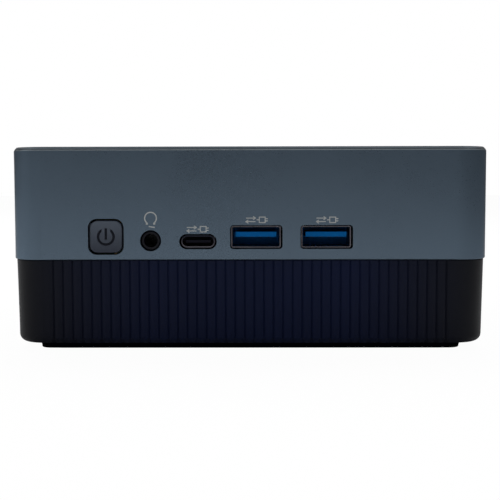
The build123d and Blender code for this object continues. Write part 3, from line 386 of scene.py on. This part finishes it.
def stroke(bm, points, width, place, closed=False, thick=0.03):
    """Adds a thin flat band along 2D points in mm. place maps (u, v, lift) to 3D."""
    count = len(points)
    sides = []
    for i, (u, v) in enumerate(points):
        before = points[i - 1] if closed or i > 0 else None
        after = points[(i + 1) % count] if closed or i < count - 1 else None
        d1 = (Vector((u, v)) - Vector(before)).normalized() if before else None
        d2 = (Vector(after) - Vector((u, v))).normalized() if after else None
        along = ((d1 or d2) + (d2 or d1)).normalized()
        across = Vector((-along.y, along.x))
        stretch = 1 / max(0.5, across.dot(Vector((-(d2 or d1).y, (d2 or d1).x))))
        sides.append([Vector((u, v)) + across * s * width / 2 * stretch for s in (-1, 1)])
    rings = []
    for left, right in sides:
        rings.append([bm.verts.new(place(p.x, p.y, lift)) for p, lift in
                      ((left, -thick), (left, thick), (right, thick), (right, -thick))])
    pairs = list(zip(rings, rings[1:])) + ([(rings[-1], rings[0])] if closed else [])
    for a, b in pairs:
        for k in range(4):
            bm.faces.new((a[k], a[(k + 1) % 4], b[(k + 1) % 4], b[k]))
    if not closed:
        bm.faces.new(rings[0])
        bm.faces.new(rings[-1][::-1])


def arc(cx, cy, r, a0, a1, steps=20):
    return [(cx + r * math.cos(math.radians(a0 + (a1 - a0) * i / steps)),
             cy + r * math.sin(math.radians(a0 + (a1 - a0) * i / steps))) for i in range(steps + 1)]


# ------------------------------------------------------------------ printed signs
WALL_LEAN = 0.1 / 28.4  # of the metal walls, from rim to seam
RIM = shell_hi.z - 0.15 * MM


def on_front(cx, cz):
    """Places a sign on the leaning front wall, centred at (cx, cz) in mm."""
    def place(u, v, lift):
        z = (cz + v) * MM
        return Vector(((cx + u) * MM, shell_lo.y + (RIM - z) * WALL_LEAN - lift * MM, z))
    return place


def on_rear(cx, cz):
    """The same for the rear wall, on which the print is thinner."""
    def place(u, v, lift):
        z = (cz + v) * MM
        return Vector(((cx - u) * MM, shell_hi.y - (RIM - z) * WALL_LEAN + lift * 0.5 * MM, z))
    return place


def headphones(bm, place, k=1.0):
    line = 0.28 * k
    stroke(bm, arc(0, 0, 1.48 * k, -52, 232, 30), line, place)
    for side in (-1, 1):
        stroke(bm, [(side * 0.92 * k, -1.62 * k), (side * 0.92 * k, -1.12 * k)], 0.5 * k, place)
    stroke(bm, [(-0.45 * k, -2.05 * k), (0.25 * k, -2.2 * k), (1.05 * k, -2.32 * k)], line, place)


def data_sign(bm, place):
    """Two opposite arrows and a plain plug outline."""
    line = 0.24
    for side in (-1, 1):
        y = 0.46 * side
        tip = -2.05 + 1.25 * side
        tail = -2.05 - 1.25 * side
        stroke(bm, [(tail, y), (tip - 0.1 * side, y)], line, place)
        stroke(bm, [(tip - 0.62 * side, y + 0.44), (tip, y), (tip - 0.62 * side, y - 0.44)], line,
               place)
    stroke(bm, [(0.2, -0.72), (1.75, -0.72), (1.75, 0.72), (0.2, 0.72)], line, place, closed=True)
    for y in (-0.3, 0.3):
        stroke(bm, [(1.87, y), (2.45, y)], line, place)
    stroke(bm, [(-0.5, 0.0), (0.08, 0.0)], line, place)


def screen_sign(bm, place):
    stroke(bm, [(-1.6, -0.7), (1.6, -0.7), (1.6, 1.2), (-1.6, 1.2)], 0.22, place, closed=True)
    stroke(bm, [(0, -0.8), (0, -1.3)], 0.22, place)
    stroke(bm, [(-0.8, -1.35), (0.8, -1.35)], 0.22, place)


def network_sign(bm, place):
    for x, y in ((0, 0.85), (-1.3, -0.95), (1.3, -0.95)):
        stroke(bm, [(x - 0.45, y - 0.35), (x + 0.45, y - 0.35), (x + 0.45, y + 0.35),
                    (x - 0.45, y + 0.35)], 0.2, place, closed=True)
    stroke(bm, [(0, 0.4), (0, 0.0)], 0.2, place)
    stroke(bm, [(-1.3, -0.5), (-1.3, -0.05), (1.3, -0.05), (1.3, -0.5)], 0.2, place)


def power_sign(bm, place):
    stroke(bm, arc(0, 0, 1.0, 50, 310, 24), 0.22, place)
    stroke(bm, [(-0.35, 0), (0.35, 0)], 0.5, place)
    stroke(bm, [(0.45, 0), (1.7, 0)], 0.22, place)


bm = bmesh.new()
headphones(bm, on_front(-26.07, 35.6), 1.05)
for cx, cz in ((-13.2, 32.68), (2.38, 35.13), (20.92, 35.1)):
    data_sign(bm, on_front(cx, cz))
piece("front_signs", bm, PRINT)

bm = bmesh.new()
sign_z = 46.2
power_sign(bm, on_rear(43.0, sign_z))
for cx in (31.0, -20.0):
    data_sign(bm, on_rear(cx, sign_z))
for cx in (16.5, -1.5):
    screen_sign(bm, on_rear(cx, sign_z))
network_sign(bm, on_rear(-38.5, sign_z))
piece("rear_signs", bm, PRINT)

# ------------------------------------------------------------------ small parts on the boards
Corner = namedtuple("Corner", "x y z")
TRIES_PER_PART = 30
PART_GAP = 0.2
PART_EDGE = 0.08


def block_mm(bm, lo, hi, radius, segments=2):
    rounded_block(bm, Vector(lo) * MM, Vector(hi) * MM, radius * MM, segments)


def scatter(name, area, z, up, taken, count, seed, material, sizes):
    """Small rounded parts on one side of a board, clear of the boxes in taken (all in mm)."""
    pick = random.Random(seed)
    bm = bmesh.new()
    placed = list(taken)
    made = 0
    tries = 0
    while made < count and tries < count * TRIES_PER_PART:
        tries += 1
        w, d, h = pick.choice(sizes)
        if pick.random() < 0.5:
            w, d = d, w
        # on a grid of half millimetres
        x = round(pick.uniform(area[0] + w, area[2] - w) * 2) / 2
        y = round(pick.uniform(area[1] + d, area[3] - d) * 2) / 2
        box = (x - w / 2 - PART_GAP, y - d / 2 - PART_GAP, x + w / 2 + PART_GAP,
               y + d / 2 + PART_GAP)
        if any(box[0] < t[2] and box[2] > t[0] and box[1] < t[3] and box[3] > t[1] for t in placed):
            continue
        placed.append(box)
        low, high = (z, z + h) if up else (z - h, z)
        block_mm(bm, (x - w / 2, y - d / 2, low), (x + w / 2, y + d / 2, high), PART_EDGE, 1)
        made += 1
    piece(name, bm, material)


def box_mm(name):
    """Lowest and highest corner of a node's box in mm, as plain floats (a Vector rounds more)."""
    return [Corner(*(c / MM for c in corner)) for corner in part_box(name)]


def footprints(names, gap=0.6):
    """XY boxes in mm of these nodes, with a gap around."""
    boxes = []
    for lo, hi in map(box_mm, names):
        boxes.append((lo.x - gap, lo.y - gap, hi.x + gap, hi.y + gap))
    return boxes


def around(x, y, reach):
    return (x - reach, y - reach, x + reach, y + reach)


board_lo, board_hi = box_mm("mainboard")
corner_posts = [around(sx * 54, sy * 53.5, 5) for sx in (-1, 1) for sy in (-1, 1)]
cooler_posts = [around(x, y, 3.2) for x, y in ((-40, -18), (40, -18), (-35, 34), (35, 34))]
# XY boxes in mm that the sockets and their solder tails take up
front_sockets = [(-4.9, -64, 8.7, -47), (13.5, -64, 27.1, -47), (-18, -64, -8.6, -54.6),
                 (-29.2, -64, -22.2, -49), (-41.4, -60, -33.7, -52.6)]
rear_sockets = [(38, 49, 48, 64), (26, 54, 36, 64), (-9.3, 50, 25, 64), (-27.2, 45.5, -12.8, 64),
                (-46.8, 45.5, -30.2, 64)]
upper = footprints(["memory_sockets", "memory_modules", "ssd_card", "wifi_card", "card_sockets",
                    "capacitors", "cell_holder", "ribbon_socket"])
notch = [(56, 10, 64, 22)]
area = (board_lo.x + 1, board_lo.y + 1, board_hi.x - 1, board_hi.y - 1)
taken = corner_posts + front_sockets + rear_sockets + upper + notch
passives = [(1.0, 0.5, 0.5), (1.6, 0.8, 0.8), (2.0, 1.2, 0.9)]
chips = [(5.0, 5.0, 0.9), (3.0, 3.0, 0.8), (6.0, 4.0, 1.0)]
scatter("board_passives", area, board_hi.z, True, taken, 170, 11, CERAMIC, passives)
scatter("board_chips", area, board_hi.z, True, taken, 14, 12, MATERIALS["chip_black"], chips)
lower_taken = footprints(["processor", "inductors", "cold_plate"]) + corner_posts + notch
lower_taken += cooler_posts
scatter("board_passives_below", area, board_lo.z, False, lower_taken, 120, 13, CERAMIC, passives)

# a row of parts on the storage card and one on each memory module
bm = bmesh.new()
card_lo, _ = box_mm("ssd_card")
card_z = card_lo.z + 0.8
for i in range(10):
    x = card_lo.x + 2.2 + 1.9 * i
    block_mm(bm, (x, -32.6, card_z), (x + 1.0, -31.0, card_z + 0.5), 0.06, 1)
_, module_hi = box_mm("memory_modules")
for module_x in (-38.7, -4.7):
    x = module_x + 13.2
    for i in range(26):
        y = -31.5 + 2.5 * i
        block_mm(bm, (x, y, module_hi.z), (x + 0.6, y + 1.1, module_hi.z + 0.45), 0.05, 1)
piece("card_passives", bm, CERAMIC)

# blank labels on the storage card, the radio card and the drive
CARD_LABELS = (16.0, 6.4, 30.0, 17.6), (41.5, -13.5, 54.5, -2.5)
LABEL_Z, LABEL_THICK, LABEL_EDGE = 32.36, 0.05, 0.02
bm = bmesh.new()
for x0, y0, x1, y1 in CARD_LABELS:
    block_mm(bm, (x0, y0, LABEL_Z), (x1, y1, LABEL_Z + LABEL_THICK), LABEL_EDGE, 1)
piece("card_labels", bm, PAPER)

drive_lo, drive_hi = box_mm("drive")
bm = bmesh.new()
block_mm(bm, (drive_lo.x + 8, drive_lo.y + 16, drive_hi.z - 0.02),
         (drive_hi.x - 8, drive_hi.y - 14, drive_hi.z + LABEL_THICK), LABEL_EDGE, 1)
piece("drive_label", bm, PAPER)

# light pipes of the network socket
lan_lo, lan_hi = box_mm("lan_jack")
PIPE_WIDTH, PIPE_INSET = 2.2, 0.7
for name, x, material in (
        ("network_light_left", lan_lo.x + PIPE_INSET, AMBER_GLOW),
        ("network_light_right", lan_hi.x - PIPE_INSET - PIPE_WIDTH, GREEN_GLOW)):
    bm = bmesh.new()
    block_mm(bm, (x, lan_hi.y - 1.0, lan_hi.z - 1.9),
             (x + PIPE_WIDTH, lan_hi.y + 0.08, lan_hi.z - PIPE_INSET), 0.1)
    piece(name, bm, material)

# ------------------------------------------------------------------ stage, light and camera
FLOOR_HALF = 4.0
FLOOR_WHITE = 0.97  # how much of what the camera sees of the floor is plain white
FADE_START, FADE_END = 0.06, 0.4  # X between which the floor gets darker, a painted shade for the case to mirror
ROOM_GLOW, TOP_GLOW, BACK_GLOW = 0.12, 0.7, 0.14


def pale_floor():
    """Pale paper that lights the object, painted darker towards +X as shade for the case to mirror.
    Seen directly it is nearly plain white.
    """
    g = Graph("pale_floor")
    pale = g.mix(g.span(g.noise(6.0), 0, 1, 0.3, 0.7), (0.72, 0.72, 0.72, 1),
                 (0.76, 0.76, 0.76, 1))
    # painted shade: the floor turns darker grey towards +X
    fade = g.span(g.axes(g.coords)["X"], 0, 1, FADE_START, FADE_END)
    g.link(g.mix(fade, pale, (0.36, 0.36, 0.36, 1)), g.shader.inputs["Base Color"])
    g.set(Roughness=0.9, Specular_IOR_Level=0.1)
    paper = g.add("ShaderNodeEmission")
    seen = g.add("ShaderNodeMixShader")
    seen.inputs[0].default_value = FLOOR_WHITE
    g.link(g.shader.outputs[0], seen.inputs[1])
    g.link(paper.outputs[0], seen.inputs[2])
    whole = g.add("ShaderNodeMixShader")
    g.link(g.add("ShaderNodeLightPath").outputs["Is Camera Ray"], whole.inputs[0])
    g.link(g.shader.outputs[0], whole.inputs[1])
    g.link(seen.outputs[0], whole.inputs[2])
    g.link(whole.outputs[0], g.out.inputs[0])
    return g.material


def studio_world():
    """White where the camera sees it, otherwise a dim room, brighter overhead and behind."""
    world = bpy.data.worlds.new("studio")
    t = Tree(world)
    axes = t.axes(t.add("ShaderNodeTexCoord").outputs["Generated"])
    overhead = t.span(axes["Z"], 0.0, TOP_GLOW, 0.35, 0.95, smooth=True)
    behind = t.span(axes["Y"], 0.0, BACK_GLOW, -0.2, 0.9, smooth=True)
    glow = t.math("ADD", t.math("ADD", overhead, behind), ROOM_GLOW)
    seen = t.add("ShaderNodeBackground")
    seen.inputs["Color"].default_value = (1, 1, 1, 1)
    lighting = t.add("ShaderNodeBackground")
    lighting.inputs["Color"].default_value = (0.97, 0.98, 1.0, 1)
    t.link(glow, lighting.inputs["Strength"])
    either = t.add("ShaderNodeMixShader")
    t.link(t.add("ShaderNodeLightPath").outputs["Is Camera Ray"], either.inputs[0])
    t.link(lighting.outputs[0], either.inputs[1])
    t.link(seen.outputs[0], either.inputs[2])
    t.link(either.outputs[0], t.add("ShaderNodeOutputWorld").inputs[0])
    return world


bm = bmesh.new()
bmesh.ops.create_grid(bm, x_segments=8, y_segments=8, size=FLOOR_HALF)
floor = mesh_object("floor", bm, pale_floor())
scene.world = studio_world()


def softbox(name, place, aim, size, power):
    light = bpy.data.lights.new(name, "AREA")
    light.shape = "RECTANGLE"
    light.size, light.size_y = size
    light.energy = power
    obj = bpy.data.objects.new(name, light)
    scene.collection.objects.link(obj)
    obj.location = place
    obj.rotation_euler = (Vector(aim) - Vector(place)).to_track_quat("-Z", "Y").to_euler()
    obj.visible_camera = False


softbox("top_light", (0.0, 0.55, 0.85), (0, 0, 0), (1.3, 0.8), 15.0)
softbox("left_light", (-0.9, -0.2, 0.5), (0, 0, 0.03), (0.6, 0.7), 0.5)

CAMERA = (2.0, -303.6, 44.0)  # mm
YAW, PITCH, ROLL = 0.445, -2.722, 0.109  # degrees
LENS_SHIFT = -0.041
LENS, SENSOR = 65.736, 36  # mm
camera = bpy.data.objects.new("camera", bpy.data.cameras.new("camera"))
scene.collection.objects.link(camera)
turn = (Matrix.Rotation(math.radians(YAW), 4, "Z") @ Matrix.Rotation(math.radians(PITCH), 4, "X")
        @ Matrix.Rotation(math.radians(ROLL), 4, "Y") @ Matrix.Rotation(math.pi / 2, 4, "X"))
camera.matrix_world = Matrix.Translation(Vector(CAMERA) * MM) @ turn
camera.data.sensor_width = SENSOR
camera.data.lens = LENS
camera.data.shift_y = LENS_SHIFT
camera.data.clip_start = 0.01
camera.data.clip_end = 20
scene.camera = camera
scene.view_settings.view_transform = "Standard"
